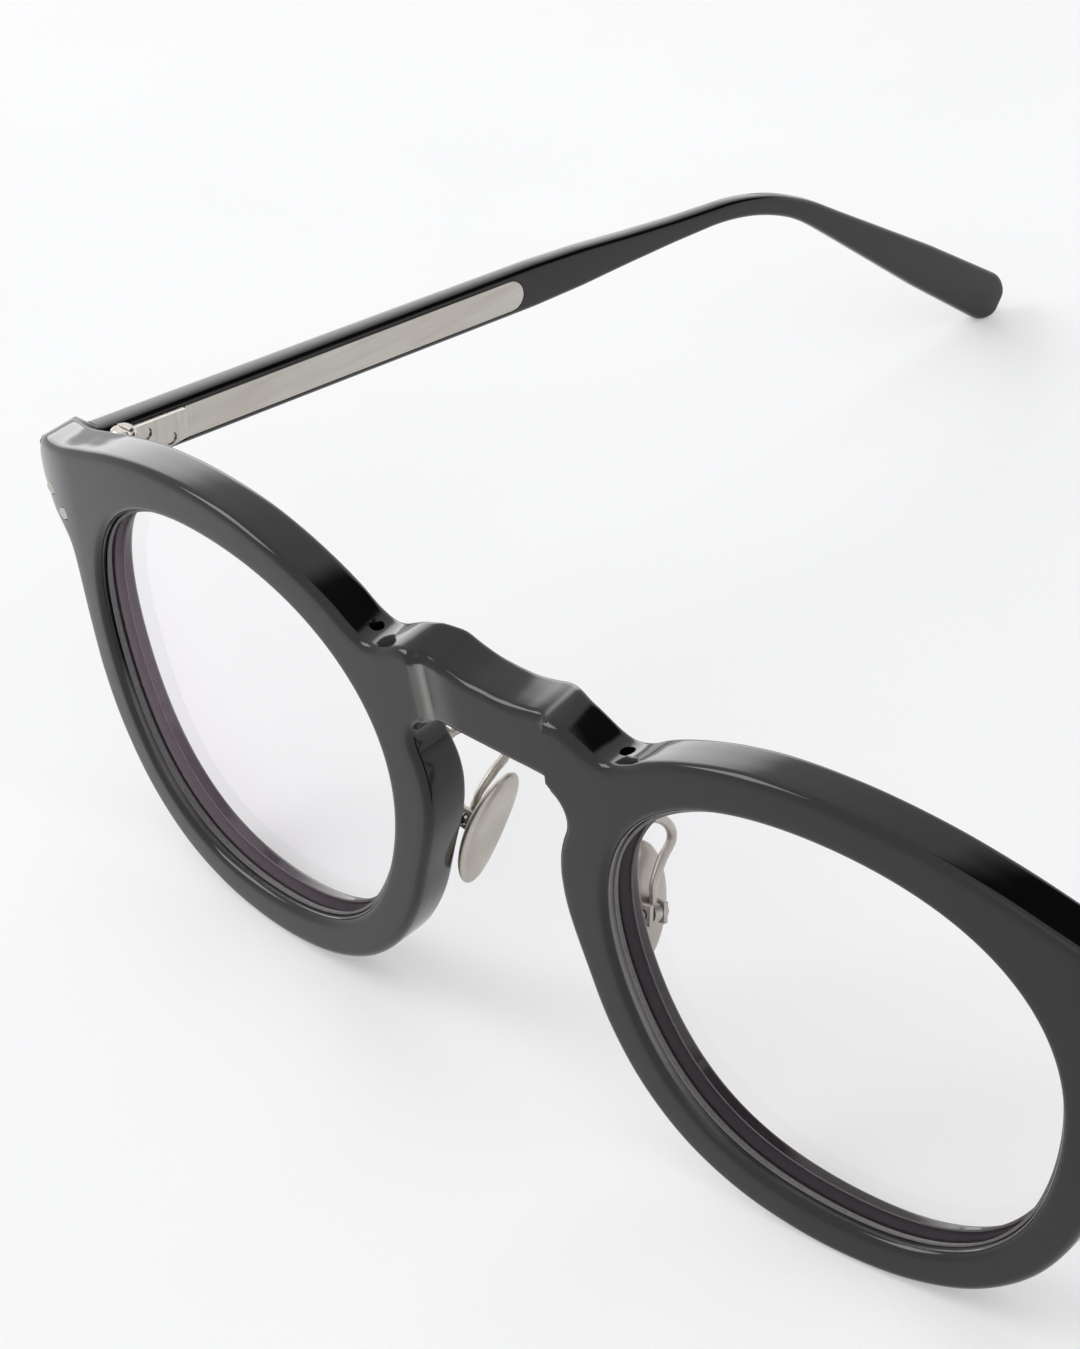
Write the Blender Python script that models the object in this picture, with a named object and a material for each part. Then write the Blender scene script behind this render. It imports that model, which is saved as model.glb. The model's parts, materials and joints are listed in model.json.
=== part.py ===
"""Round acetate eyeglasses: front, lenses, nose pads, riveted five-barrel hinges and temples.

Every shape is drawn in millimetres in the front's own frame: X to the wearer's left, Y back
towards the ears, Z up, with the origin on the front face at the middle of the bridge. The last
step leans that frame so that the rims and the temple tips all rest on Z = 0, in metres.
"""
import math
import bpy
import bmesh
import numpy as np
from mathutils import Matrix, Vector
from mathutils.geometry import delaunay_2d_cdt

# Front
LENS_APART = 69.9       # between the centres of the two openings
OPEN_R = 21.5           # mean radius of an opening
RIM_FACE = 3.9          # mean width of the rim's face
FRONT_T = 4.65          # thickness of the acetate front
BRIDGE_BACK = 1.1       # the bridge is this much thicker, at the back
WRAP = 0.0029           # the front curves back by WRAP * x**2 / 2
EDGE_R = 0.8            # rounded edges of the front
BACK_R = 0.6            # rounding of the openings' back edges
GROOVE_D = 0.6          # depth of the lens groove
GROOVE_AT = 2.1         # depth of the groove's middle behind the front face
BRIDGE_LOW = 13.7       # underside of the bridge
BRIDGE_TOP = 20.1       # middle of the crown
CROWN_UP = 21.45        # the two shoulders of the crown
NOTCH_Z = 19.3          # bottom of the notches beside the crown
RECESS_W = 13.7         # width of the recessed bridge face
RECESS_D = 0.85         # depth of that recess
END_X = 67.2            # outer side of the endpiece
END_TOP, END_LOW = 17.2, 8.9
BUTT_Y = FRONT_T + 8.55  # back of the endpiece, where the temple meets it
SEAT_Y = FRONT_T + 6.6   # flat seat of the hinge's front leaf
# Lenses
LENS_T = 2.0
LENS_CURVE = 150.0      # radius of both lens faces
LENS_GAP = 0.1
# Hinges
PIN_X, PIN_Y, PIN_Z = 61.6, BUTT_Y + 1.1, 12.45
BARREL_R, BORE_R, SCREW_R = 1.35, 0.75, 0.66
BARREL_H, BARREL_GAP = 0.84, 0.2
# Temples
TOE_IN = math.radians(3.0)      # the open temples converge towards the tips
SLOPE = math.radians(8.2)       # and run down from the hinge
DROP = math.radians(40.0)       # slope of the part behind the ear
TEMPLE_IN = 1.8                 # inner face, out from the hinge axis
STRAIGHT, BEND_R, TIP_L = 83.0, 34.0, 40.5
TEMPLE_H, TEMPLE_T = 5.0, 3.0
WAIST_H, WAIST_T, TIP_H = 2.3, 2.1, 6.2
PLATE_H, PLATE_T, PLATE_END = 3.5, 0.5, 54.0
RIVET_R, RIVET_GAP = 0.65, 0.05
# Nose pads
PAD_AT = Vector((8.95, FRONT_T + 3.3, -3.7))
PAD_L, PAD_W, PAD_T = 12.3, 6.4, 1.3
PAD_FLARE, PAD_PITCH, PAD_SPLAY = math.radians(11.8), math.radians(21.4), math.radians(8.6)
WIRE_R = 0.45
PAD_SCREW_R, PAD_SCREW_GAP = 0.3, 0.08
PIVOT_BACK = 2.1        # the pad screw, behind the middle of the pad

MM = 0.001
OPEN_STEPS = 72         # points round an opening
BLACK, METAL, BRUSHED, CLEAR, TITAN = "acetate", "steel", "core_plate", "lens", "titanium"
LOOKS = {BLACK: ((0.006, 0.006, 0.007, 1), 0.0, 0.12), METAL: ((0.62, 0.61, 0.6, 1), 1.0, 0.25),
         BRUSHED: ((0.66, 0.62, 0.57, 1), 1.0, 0.35), CLEAR: ((0.95, 0.96, 0.97, 1), 0.0, 0.02),
         TITAN: ((0.45, 0.42, 0.39, 1), 1.0, 0.45)}


def material(kind, name):
    colour, metallic, rough = LOOKS[kind]
    made = bpy.data.materials.new(name + "_" + kind)
    made.use_nodes = True
    shader = made.node_tree.nodes["Principled BSDF"]
    shader.inputs["Base Color"].default_value = colour
    shader.inputs["Metallic"].default_value = metallic
    shader.inputs["Roughness"].default_value = rough
    if kind == CLEAR:
        shader.inputs["Transmission Weight"].default_value = 1.0
    return made


def solid(name, points, faces, kind=None):
    """An object in millimetres, with its faces turned outwards."""
    mesh = bpy.data.meshes.new(name)
    mesh.from_pydata([tuple(p) for p in points], [], [tuple(f) for f in faces])
    made = bmesh.new()
    made.from_mesh(mesh)
    bmesh.ops.remove_doubles(made, verts=made.verts, dist=1e-5)
    bmesh.ops.recalc_face_normals(made, faces=made.faces)
    if made.calc_volume(signed=True) < 0:
        bmesh.ops.reverse_faces(made, faces=made.faces)
    made.to_mesh(mesh)
    made.free()
    obj = bpy.data.objects.new(name, mesh)
    bpy.context.scene.collection.objects.link(obj)
    if kind:
        mesh.materials.append(material(kind, name))
    return obj


def combine(target, others, operation):
    """Applies a Boolean of each of the others to the target and drops them."""
    for other in others:
        step = target.modifiers.new("step", "BOOLEAN")
        step.operation, step.solver, step.object = operation, "EXACT", other
        graph = bpy.context.evaluated_depsgraph_get()
        mesh = bpy.data.meshes.new_from_object(target.evaluated_get(graph))
        target.modifiers.clear()
        target.data = mesh
        bpy.data.objects.remove(other)
    return target


def rings_to_solid(name, rings, kind=None, caps=True):
    """Joins rings of equal length into a skin, closed at both ends by a fan."""
    count, points, faces = len(rings[0]), [p for ring in rings for p in ring], []
    for i in range(len(rings) - 1):
        for j in range(count):
            k = (j + 1) % count
            faces.append((i * count + j, i * count + k, (i + 1) * count + k, (i + 1) * count + j))
    if caps:
        for start in (0, (len(rings) - 1) * count):
            points.append(sum((Vector(p) for p in rings[start // count]), Vector()) / count)
            faces += [(start + j, start + (j + 1) % count, len(points) - 1) for j in range(count)]
    return solid(name, points, faces, kind)


def prism(name, outline, low, high, kind=None, frame=None):
    """A polygon in the frame's first two axes, raised along its third."""
    frame = frame or Matrix.Identity(4)
    rings = [[frame @ Vector((a, b, c)) for a, b in outline] for c in (low, high)]
    count = len(outline)
    faces = [tuple(range(count)), tuple(range(count, 2 * count))]
    faces += [(j, (j + 1) % count, count + (j + 1) % count, count + j) for j in range(count)]
    return solid(name, rings[0] + rings[1], faces, kind)


def disc(radius, count=24, at=(0, 0)):
    turn = [2 * math.pi * j / count for j in range(count)]
    return [(at[0] + radius * math.cos(a), at[1] + radius * math.sin(a)) for a in turn]


def box_outline(a0, a1, b0, b1, corner=0.0, steps=4):
    """A rectangle, with rounded corners if corner is set."""
    if corner <= 0:
        return [(a0, b0), (a1, b0), (a1, b1), (a0, b1)]
    out = []
    for k, (a, b) in enumerate(((a1, b1), (a0, b1), (a0, b0), (a1, b0))):
        ca, cb = a - math.copysign(corner, a - a0 - 1e-9), b - math.copysign(corner, b - b0 - 1e-9)
        turn = [math.pi / 2 * (k + j / steps) for j in range(steps + 1)]
        out += [(ca + corner * math.cos(t), cb + corner * math.sin(t)) for t in turn]
    return out


def frame_of(origin, third, first):
    """A frame whose third axis and, as nearly as it can, first axis are given."""
    c = Vector(third).normalized()
    a = (Vector(first) - c * Vector(first).dot(c)).normalized()
    b = c.cross(a)
    out = Matrix((a, b, c)).transposed().to_4x4()
    out.translation = origin
    return out


def opening(angle, grow=0.0):
    """The panto opening's edge; the angle turns from the temple side up over the top."""
    r = OPEN_R + grow + 0.13 * math.sin(angle) + 0.64 * math.cos(2 * angle)
    r += -0.37 * math.sin(2 * angle) + 0.44 * math.sin(3 * angle) - 0.12 * math.cos(3 * angle)
    r += -0.41 * math.cos(4 * angle) + 0.15 * math.sin(5 * angle)
    return LENS_APART / 2 + r * math.cos(angle), r * math.sin(angle)


def curve_through(points, spacing):
    """A smooth curve through the points, resampled evenly along its length."""
    p = np.array(points, float)
    slope = np.gradient(p, axis=0)
    fine = []
    for i in range(len(p) - 1):
        for t in np.linspace(0, 1, 24, endpoint=False):
            fine.append(p[i] * (1 + 2 * t) * (1 - t) ** 2 + slope[i] * t * (1 - t) ** 2
                        + p[i + 1] * t * t * (3 - 2 * t) + slope[i + 1] * t * t * (t - 1))
    fine = np.array(fine + [p[-1]])
    run = np.concatenate([[0], np.cumsum(np.linalg.norm(np.diff(fine, axis=0), axis=1))])
    at = np.linspace(0, run[-1], max(2, round(run[-1] / spacing) + 1))
    return np.stack([np.interp(at, run, fine[:, k]) for k in (0, 1)], 1)


def front_outline(spacing):
    """Half of the front's edge from the middle of the bridge's underside to that of its crown."""
    nose = [(0, BRIDGE_LOW), (2.5, BRIDGE_LOW), (5, BRIDGE_LOW), (7, BRIDGE_LOW - 0.2),
            (8.3, BRIDGE_LOW - 1), (8.95, BRIDGE_LOW - 2.3), (8.9, BRIDGE_LOW - 3.7),
            (8.35, BRIDGE_LOW - 5.2), (7.9, BRIDGE_LOW - 7), (7.75, 4.2), (8.2, 0.7)]
    rim = [opening(math.radians(a), RIM_FACE + 0.3 * max(math.cos(math.radians(a - 195)), 0))
           for a in range(190, 368, 14)]
    end = [(61.3, 6.2), (62.6, 8.0), (64.4, END_LOW), (65.7, END_LOW + 1.2), (END_X, END_LOW + 3),
           (END_X, END_TOP - 3), (65.9, END_TOP - 1), (64.4, END_TOP + 0.1), (60.5, 18.6)]
    brow = [(56, 20.3), (51, 22.1), (45.5, 23.6), (40, 24.5), (35, 24.8), (30, 24.6),
            (25.5, 23.8), (21.5, 22.6), (18.2, 21.2), (16, NOTCH_Z + 0.6), (14.1, NOTCH_Z),
            (12.6, NOTCH_Z + 0.3), (11.1, NOTCH_Z + 1.1), (9.6, CROWN_UP - 0.3), (8, CROWN_UP),
            (6.2, CROWN_UP - 0.3), (4.3, BRIDGE_TOP + 0.5), (2.2, BRIDGE_TOP + 0.1), (0, BRIDGE_TOP)]
    return curve_through(nose + rim + end + brow, spacing)


def inwards(loop):
    """Unit vectors square to a closed anticlockwise loop, pointing to its inside."""
    along = np.roll(loop, -1, 0) - np.roll(loop, 1, 0)
    along /= np.linalg.norm(along, axis=1)[:, None]
    return np.stack([-along[:, 1], along[:, 0]], 1)


def front_face(x):
    """How far back the front's face lies: an even wrap, and a turn at the endpieces."""
    return WRAP * x * x / 2 + 0.02 * np.maximum(np.abs(x) - 58, 0) ** 2


def bridge_more(x, depth):
    """The extra thickness behind the bridge, eased out before the openings."""
    share = min(max((9.6 - abs(x)) / 4, 0), 1) * min(max((depth - 1.5) / (FRONT_T - 2.5), 0), 1)
    return BRIDGE_BACK * share * share * (3 - 2 * share)


def crown_fall(x, z, depth):
    """How far the top of the crown drops towards its front edge."""
    if z < BRIDGE_LOW + 2:
        return 0
    fall = np.interp(abs(x), (0, 4, 8, 9.6, 11.2, 13, 16), (0.3, 0.5, 0.9, 0.7, 0.5, 0.25, 0))
    return fall * (1 - min(max(depth / FRONT_T, 0), 1))


def front_body():
    """The acetate front: rounded edges round three loops, a lens groove in two of them."""
    half = front_outline(1.75)
    mirrored = half[-2:0:-1] * [-1, 1]
    outer = np.concatenate([half, mirrored])
    turn = [2 * math.pi * j / OPEN_STEPS for j in range(OPEN_STEPS)]
    hole = np.array([opening(a) for a in turn])
    holes = [hole, (hole * [-1, 1])[::-1]]
    edge, back = [[(r * (1 - math.sin(math.radians(a))), r * (1 - math.cos(math.radians(a))))
                   for a in (0, 30, 60, 90)] for r in (EDGE_R, BACK_R)]
    wall = edge + [(inset, FRONT_T - depth) for inset, depth in edge[::-1]]
    inner = edge + [(inset, FRONT_T - depth) for inset, depth in back[::-1]]
    groove = [(0, GROOVE_AT - GROOVE_D), (GROOVE_D, GROOVE_AT), (0, GROOVE_AT + GROOVE_D)]
    points, faces, caps = [], [], ([], [])
    for loop, sign, profile in ((outer, 1, wall), (holes[0], -1, inner[:4] + groove + inner[4:]),
                                (holes[1], -1, inner[:4] + groove + inner[4:])):
        normal, count = inwards(loop) * sign, len(loop)
        start = len(points)
        for inset, depth in profile:
            ring = loop + normal * inset
            points += [(x, front_face(x) + depth + bridge_more(x, depth), z - crown_fall(x, z, depth))
                       for x, z in ring]
        for i in range(len(profile) - 1):
            for j in range(count):
                a, b = start + i * count + j, start + i * count + (j + 1) % count
                faces.append((a, b, b + count, a + count))
        last = start + (len(profile) - 1) * count
        caps[0].append(list(range(start, start + count)))
        caps[1].append(list(range(last, last + count)))
    for cap in caps:
        flat = [Vector((points[i][0], points[i][2])) for loop in cap for i in loop]
        index = [i for loop in cap for i in loop]
        edges, base = [], 0
        for loop in cap:
            edges += [(base + j, base + (j + 1) % len(loop)) for j in range(len(loop))]
            base += len(loop)
        made = delaunay_2d_cdt(flat, edges, [], 1, 1e-7)
        for face in made[2]:
            ids = [index[made[3][v][0]] for v in face]
            centre = np.mean([(points[i][0], points[i][2]) for i in ids], axis=0)
            if not any(inside(centre, np.array([(points[i][0], points[i][2]) for i in loop]))
                       for loop in cap[1:]):
                faces.append(ids)
    return solid("front_frame", points, faces, BLACK)


def inside(point, loop):
    x, z = loop[:, 0], loop[:, 1]
    x2, z2 = np.roll(x, -1), np.roll(z, -1)
    crosses = (z > point[1]) != (z2 > point[1])
    return bool((crosses & (point[0] < (x2 - x) * (point[1] - z) / (z2 - z + 1e-12) + x)).sum() % 2)


def front_frame():
    front = front_body()
    up = frame_of((0, 0, 0), (0, 0, 1), (1, 0, 0))
    blocks, cuts = [], []
    for side in (-1, 1):
        seat = [(57.6, 6.5), (END_X - 1.5, 8.0), (END_X - 1.5, SEAT_Y), (57.6, SEAT_Y)]
        blocks.append(prism("seat", [(side * x, y) for x, y in seat], END_LOW + 0.6, END_TOP - 2.2))
        cheek = [(63.3, 8.0), (END_X - 0.5, 8.0), (END_X - 0.05, 8.6), (END_X - 0.05, BUTT_Y),
                 (63.3, BUTT_Y)]
        blocks.append(prism("cheek", [(side * x, y) for x, y in cheek], END_LOW + 0.8, END_TOP - 1.6))
        for x, z in rivets_in_front():
            blind = frame_of((side * x, front_face(x) - 1, z), (0, 1, 0), (1, 0, 0))
            cuts.append(prism("blind", disc(RIVET_R + RIVET_GAP, 16), 0, 4.1, frame=blind))
        dimple = disc(0.6, 16, (side * 14.5, FRONT_T * 0.62))
        cuts.append(prism("dimple", dimple, NOTCH_Z - 1.3, NOTCH_Z + 3))
    half, deep = RECESS_W / 2, RECESS_D
    arc = [(half + deep * (1 - math.sin(a)), deep * math.cos(a))
           for a in (math.pi / 2 * k / 5 for k in range(6))]
    recess = [(-x, y) for x, y in arc[::-1]] + arc
    recess = [(x, y) for x, y in recess] + [(half + deep, -2), (-half - deep, -2)]
    cuts.append(prism("recess", recess, BRIDGE_LOW - 2.2, CROWN_UP + 2, frame=up))
    combine(front, blocks, "UNION")
    return combine(front, cuts, "DIFFERENCE")


def rivets_in_front():
    return ((64.1, 11.8), (61.5, 10.4))


def lens(side, name):
    """A lens with a ridge all round that sits in the groove."""
    count, shares = OPEN_STEPS, (0.3, 0.6, 0.85, 1.0)
    mid = LENS_APART / 2

    def at(j, grow, share, depth):
        x, z = opening(2 * math.pi * j / count, grow)
        reach = OPEN_R ** 2 + ((x - mid) ** 2 + z * z - OPEN_R ** 2) * share ** 2
        bulge = reach * (1 - share ** 2) / (2 * LENS_CURVE)
        x, z = mid + (x - mid) * share, z * share
        return Vector((side * x, WRAP * x * x / 2 + GROOVE_AT - bulge + depth, z))

    half = LENS_T / 2
    rings = [[at(j, -LENS_GAP, s, -half) for j in range(count)] for s in shares]
    rings.append([at(j, -LENS_GAP, 1, -GROOVE_D * 0.8) for j in range(count)])
    rings.append([at(j, GROOVE_D - 1.6 * LENS_GAP, 1, 0) for j in range(count)])
    rings.append([at(j, -LENS_GAP, 1, GROOVE_D * 0.8) for j in range(count)])
    rings += [[at(j, -LENS_GAP, s, half) for j in range(count)] for s in shares[::-1]]
    return rings_to_solid(name, rings, CLEAR)


def hinge_knuckles(side, mine, reach, name):
    """The barrels of one leaf, each with its web; mine picks odd or even barrels."""
    step = BARREL_H + BARREL_GAP
    low = PIN_Z - 2 * step - BARREL_H / 2
    made = []
    for k in range(mine, 5, 2):
        z = low + k * step
        ring = disc(BARREL_R, 20, (PIN_X, PIN_Y))
        made.append(prism(name, [(side * x, y) for x, y in ring], z, z + BARREL_H))
        made.append(prism("web", [(side * (PIN_X + x), PIN_Y + y) for x, y in reach], z, z + BARREL_H))
    return made


def bore(side, radius, z0, z1):
    return prism("bore", [(side * x, y) for x, y in disc(radius, 20, (PIN_X, PIN_Y))], z0, z1)


def front_leaf(side, name):
    reach = [(-BARREL_R, 0), (-BARREL_R - 0.6, SEAT_Y + 0.6 - PIN_Y), (1.2, SEAT_Y + 0.6 - PIN_Y),
             (0.9, -0.9), (0, 0)]
    low = PIN_Z - 2.5
    foot = [(58.0, SEAT_Y + 0.05), (62.9, SEAT_Y + 0.05), (62.9, SEAT_Y + 0.95), (58.0, SEAT_Y + 0.95)]
    plate = prism(name, [(side * x, y) for x, y in foot], low, low + 5.0, METAL)
    combine(plate, hinge_knuckles(side, 0, reach, "barrel"), "UNION")
    return combine(plate, [bore(side, BORE_R, low - 1, low + 6)], "DIFFERENCE")


def temple_line(s):
    """Height of the temple's middle above the hinge's middle, a distance s behind the pin."""
    return -0.05 - math.tan(SLOPE) * s


def temple_leaf(side, name, turn):
    """Drawn with the temple square to the front, then turned in with it."""
    reach = [(0, 0), (0.6, -0.9), (TEMPLE_IN - 0.4, 0.2), (TEMPLE_IN - 0.2, 1.5),
             (TEMPLE_IN - 0.2, 2.2), (0.6, 1.2)]
    plate = [(PIN_X + TEMPLE_IN - 0.7, PIN_Y + 1.35), (PIN_X + TEMPLE_IN + 0.5, PIN_Y + 1.35),
             (PIN_X + TEMPLE_IN + 0.5, PIN_Y + 8.4), (PIN_X + TEMPLE_IN - 0.7, PIN_Y + 8.4)]
    low = PIN_Z - 2.5
    made = prism(name, [(side * x, y) for x, y in plate], low, low + 5.0, METAL)
    trim = leaf_trim(side)
    combine(made, [trim], "INTERSECT")
    combine(made, hinge_knuckles(side, 1, reach, "barrel"), "UNION")
    holes = [bore(side, BORE_R, low - 1, low + 6)] + temple_rivet_holes(side)
    return turned(combine(made, holes, "DIFFERENCE"), turn)


def leaf_trim(side):
    """Keeps the leaf within a band that runs down with the temple."""
    band = [(PIN_Y + s, PIN_Z + temple_line(s) + z) for s, z in
            ((-3, -1.95), (8.4, -1.95), (8.4, 1.95), (-3, 1.95))]
    across = frame_of((side * (PIN_X - 3), 0, 0), (side, 0, 0), (0, 1, 0))
    flip = side
    return prism("trim", [(y, z * flip) for y, z in band], 0, 10, frame=across)


def turned(obj, turn):
    obj.data.transform(turn)
    return obj


def temple_rivet_spots():
    return ((3.4, PIN_Z + temple_line(3.4) + 0.75), (6.2, PIN_Z + temple_line(6.2) - 0.75))


def temple_rivet_holes(side):
    made = []
    for s, z in temple_rivet_spots():
        axis = frame_of((side * (PIN_X - 1), PIN_Y + s, z), (side, 0, 0), (0, 1, 0))
        made.append(prism("hole", disc(RIVET_R + RIVET_GAP, 16), 0, 9, frame=axis))
    return made


def temple_path(step):
    """(s, z, slope, height, thickness) along the temple, from its front end to its tip."""
    start, knee = BUTT_Y + 0.3 - PIN_Y, STRAIGHT
    bend = BEND_R * (DROP - SLOPE)
    total = knee - start + bend + TIP_L
    out, run = [], np.concatenate([np.arange(0, total - 3, step), total - np.array([3, 2, 1.2, 0.5, 0.12, 0])])
    knee_z = temple_line(knee)
    for r in run:
        s = start + r
        if s <= knee:
            place = (s, temple_line(s), SLOPE)
        else:
            turn = min((s - knee) / BEND_R, DROP - SLOPE) + SLOPE
            x = knee + BEND_R * (math.sin(turn) - math.sin(SLOPE))
            z = knee_z - BEND_R * (math.cos(SLOPE) - math.cos(turn))
            rest = max(s - knee - bend, 0)
            place = (x + rest * math.cos(turn), z - rest * math.sin(turn), turn)
        high = np.interp(s, (start, 56, 63, 70, 77, 83, 90, 97, 105, 115, 125, total + start),
                         (TEMPLE_H, TEMPLE_H, 4.5, 3.5, 2.7, 2.3, WAIST_H, WAIST_H + 0.1, 3.1, 4.2, 5.3, TIP_H))
        thick = np.interp(s, (start, 40, 84, 100, total + start), (TEMPLE_T, 2.6, WAIST_T, WAIST_T, 2.5))
        left = total - r
        if left < 3:
            share = math.sqrt(max(1 - (1 - left / 3) ** 2, 0))
            high, thick = high * (0.35 + 0.65 * share), thick * (0.45 + 0.55 * min(1, share * 1.3))
        out.append((*place, high, thick))
    return out


def temple(side, name, turn):
    rings = []
    for s, z, slope, high, thick in temple_path(2.6):
        lean = slope if s > 12 else SLOPE * max(s, 0) / 12
        corner = min(0.7, high * 0.3, thick * 0.3)
        ring = []
        for across, up in box_outline(0, thick, -high / 2, high / 2, corner, 3):
            ring.append((side * (PIN_X + TEMPLE_IN + across), PIN_Y + s + up * math.sin(lean),
                         PIN_Z + z + up * math.cos(lean)))
        rings.append(ring)
    made = rings_to_solid(name, rings, BLACK)
    pocket = [(PIN_Y + s, PIN_Z + temple_line(s) + z) for s, z in
              ((-3, -2.0), (8.5, -2.0), (8.5, 2.0), (-3, 2.0))]
    across = frame_of((side * (PIN_X + TEMPLE_IN - 1), 0, 0), (side, 0, 0), (0, 1, 0))
    pocket = prism("pocket", [(y, side * z) for y, z in pocket], 0, 1 + 0.55, frame=across)
    slot = plate_outline(side, 0.08)
    slot = prism("slot", slot, 0, 1 + PLATE_T + 0.05, frame=across)
    combine(made, [pocket, slot] + temple_rivet_holes(side), "DIFFERENCE")
    return turned(made, turn)


def plate_outline(side, grow):
    """The metal plate let into the temple's inner face: square in front, round at its far end."""
    s0, s1, half = 8.85 - grow, PLATE_END - PLATE_H / 2, PLATE_H / 2 + grow
    flat = [(s0, -half)] + [(s1 + half * math.sin(a), -half * math.cos(a))
                            for a in (math.pi * k / 12 for k in range(13))] + [(s0, half)]
    return [(PIN_Y + s, side * (PIN_Z + temple_line(s) + z)) for s, z in flat]


def temple_plate(side, name, turn):
    across = frame_of((side * (PIN_X + TEMPLE_IN), 0, 0), (side, 0, 0), (0, 1, 0))
    return turned(prism(name, plate_outline(side, 0), 0.0, PLATE_T, BRUSHED, across), turn)


def rivet(name, frame, length, kind=METAL):
    """A pin with a low domed head; the frame's third axis runs into the material."""
    dome = [(RIVET_R * math.cos(a), -0.12 * math.sin(a)) for a in (0, 0.5, 1.0, 1.35)]
    rings = [[frame @ Vector((x, y, depth)) for x, y in disc(r, 20)] for r, depth in dome[::-1]]
    rings.append([frame @ Vector((x, y, length)) for x, y in disc(RIVET_R, 20)])
    return rings_to_solid(name, rings, kind)


def hinge_screw(side, name):
    top = PIN_Z + 2.5
    up = frame_of((side * PIN_X, PIN_Y, 0), (0, 0, 1), (1, 0, 0))
    profile = [(SCREW_R * 0.8, PIN_Z - 2.9), (SCREW_R, PIN_Z - 2.7), (SCREW_R, top + 0.1),
               (1.15, top + 0.1), (1.15, top + 0.45), (0.9, top + 0.65)]
    rings = [[up @ Vector((x, y, z)) for x, y in disc(r, 20)] for r, z in profile]
    made = rings_to_solid(name, rings, METAL)
    slot = prism("slot", box_outline(-2, 2, -0.15, 0.15), top + 0.35, top + 1, frame=up)
    return combine(made, [slot], "DIFFERENCE")


def pad_frame(side):
    """Origin in the middle of the pad; third axis out of its face, first axis up its length."""
    up = Vector((-side * math.sin(PAD_FLARE), math.sin(PAD_PITCH), 0))
    up.z = math.sqrt(1 - up.length_squared)
    out = Vector((-side * math.cos(PAD_SPLAY), math.sin(PAD_SPLAY), 0))
    out -= up * out.dot(up)
    return frame_of((side * PAD_AT.x, PAD_AT.y, PAD_AT.z), out, up)


def nose_pad(side, name):
    here = pad_frame(side)
    profile = [(0.45, 0.5), (0.75, 0.46), (0.92, 0.34), (1.0, 0.05), (0.97, -0.25), (0.85, -0.44), (0.5, -0.5)]
    rings = []
    for share, depth in profile:
        ring = [(x * PAD_L / 2 * share, y * PAD_W / 2 * share) for x, y in disc(1, 32)]
        rings.append([here @ Vector((x, y * (1 + 0.16 * x / PAD_L), depth * PAD_T + 0.012 * (x * x)
                                     - 0.3)) for x, y in ring])
    pad = rings_to_solid(name, rings, TITAN)
    cheeks = [prism("cheek", box_outline(-1.0, 1.0, y0, y0 + 0.5), -PIVOT_BACK - 0.8, -0.6, frame=here)
              for y0 in (-1.1, 0.6)]
    combine(pad, cheeks, "UNION")
    hole = prism("hole", disc(PAD_SCREW_R + PAD_SCREW_GAP, 16), -3, 3, frame=pivot_frame(side))
    return combine(pad, [hole], "DIFFERENCE")


def pivot_frame(side):
    """The pad screw's axis, across the pad's width behind it."""
    here = pad_frame(side)
    axis = here.to_3x3() @ Vector((0, 1, 0))
    return frame_of(here @ Vector((0, 0, -PIVOT_BACK)), axis, here.to_3x3() @ Vector((1, 0, 0)))


def pad_screw(side, name):
    profile = [(PAD_SCREW_R * 0.8, -1.3), (PAD_SCREW_R, -1.2), (PAD_SCREW_R, 1.15),
               (0.6, 1.15), (0.6, 1.35), (0.42, 1.5)]
    here = pivot_frame(side)
    rings = [[here @ Vector((x, y, z)) for x, y in disc(r, 16)] for r, z in profile]
    return rings_to_solid(name, rings, METAL)


def tube(points, radii, count=12):
    """A wire along the points, with a radius at each."""
    p = [Vector(q) for q in points]
    side, rings = Vector((0, 0, 1)), []
    for i, q in enumerate(p):
        along = (p[min(i + 1, len(p) - 1)] - p[max(i - 1, 0)]).normalized()
        side = (side - along * side.dot(along)).normalized()
        other = along.cross(side)
        rings.append([q + (side * x + other * y) * radii[i] for x, y in disc(1, count)])
    return rings_to_solid("wire", rings)


def pad_arm(side, name):
    """A foot on the back of the rim, a wire loop, and an eye between the pad's cheeks."""
    pivot = pivot_frame(side)
    eye_at = pivot.translation
    back = front_face(11) + FRONT_T
    foot = frame_of((side * 11, back + 0.12, 6.6), (0, 1, 0), (1, 0, 0))
    arm = prism(name, box_outline(-1.2, 1.2, -1.9, 1.9, 0.7, 4), 0, 0.8, TITAN, foot)
    lift = pivot.to_3x3() @ Vector((1.0, 0, 0))
    guide = [(side * 11, back + 0.5, 6.8), (side * 10.7, back + 2.8, 7.0), (side * 10.3, back + 5.3, 5.5),
             (side * 10.0, back + 6.9, 3.4), (side * 9.9, back + 7.1, 1.7), (side * 10.1, back + 5.6, 0.7),
             tuple(eye_at + lift * 2.6), tuple(eye_at + lift * 1.4), tuple(eye_at + lift * 0.5)]
    p = np.array(guide)
    slope = np.gradient(p, axis=0)
    path = []
    for i in range(len(p) - 1):
        for t in np.linspace(0, 1, 5, endpoint=False):
            path.append(p[i] * (1 + 2 * t) * (1 - t) ** 2 + slope[i] * t * (1 - t) ** 2
                        + p[i + 1] * t * t * (3 - 2 * t) + slope[i + 1] * t * t * (t - 1))
    path.append(p[-1])
    radii = np.interp(np.arange(len(path)), (0, len(path) - 9, len(path) - 5), (WIRE_R, WIRE_R, 0.36))
    eye = prism("eye", disc(0.85, 20), -0.42, 0.42, frame=pivot)
    combine(arm, [tube(path, radii), eye], "UNION")
    return combine(arm, [prism("hole", disc(PAD_SCREW_R + PAD_SCREW_GAP, 16), -1, 1, frame=pivot)], "DIFFERENCE")


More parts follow.
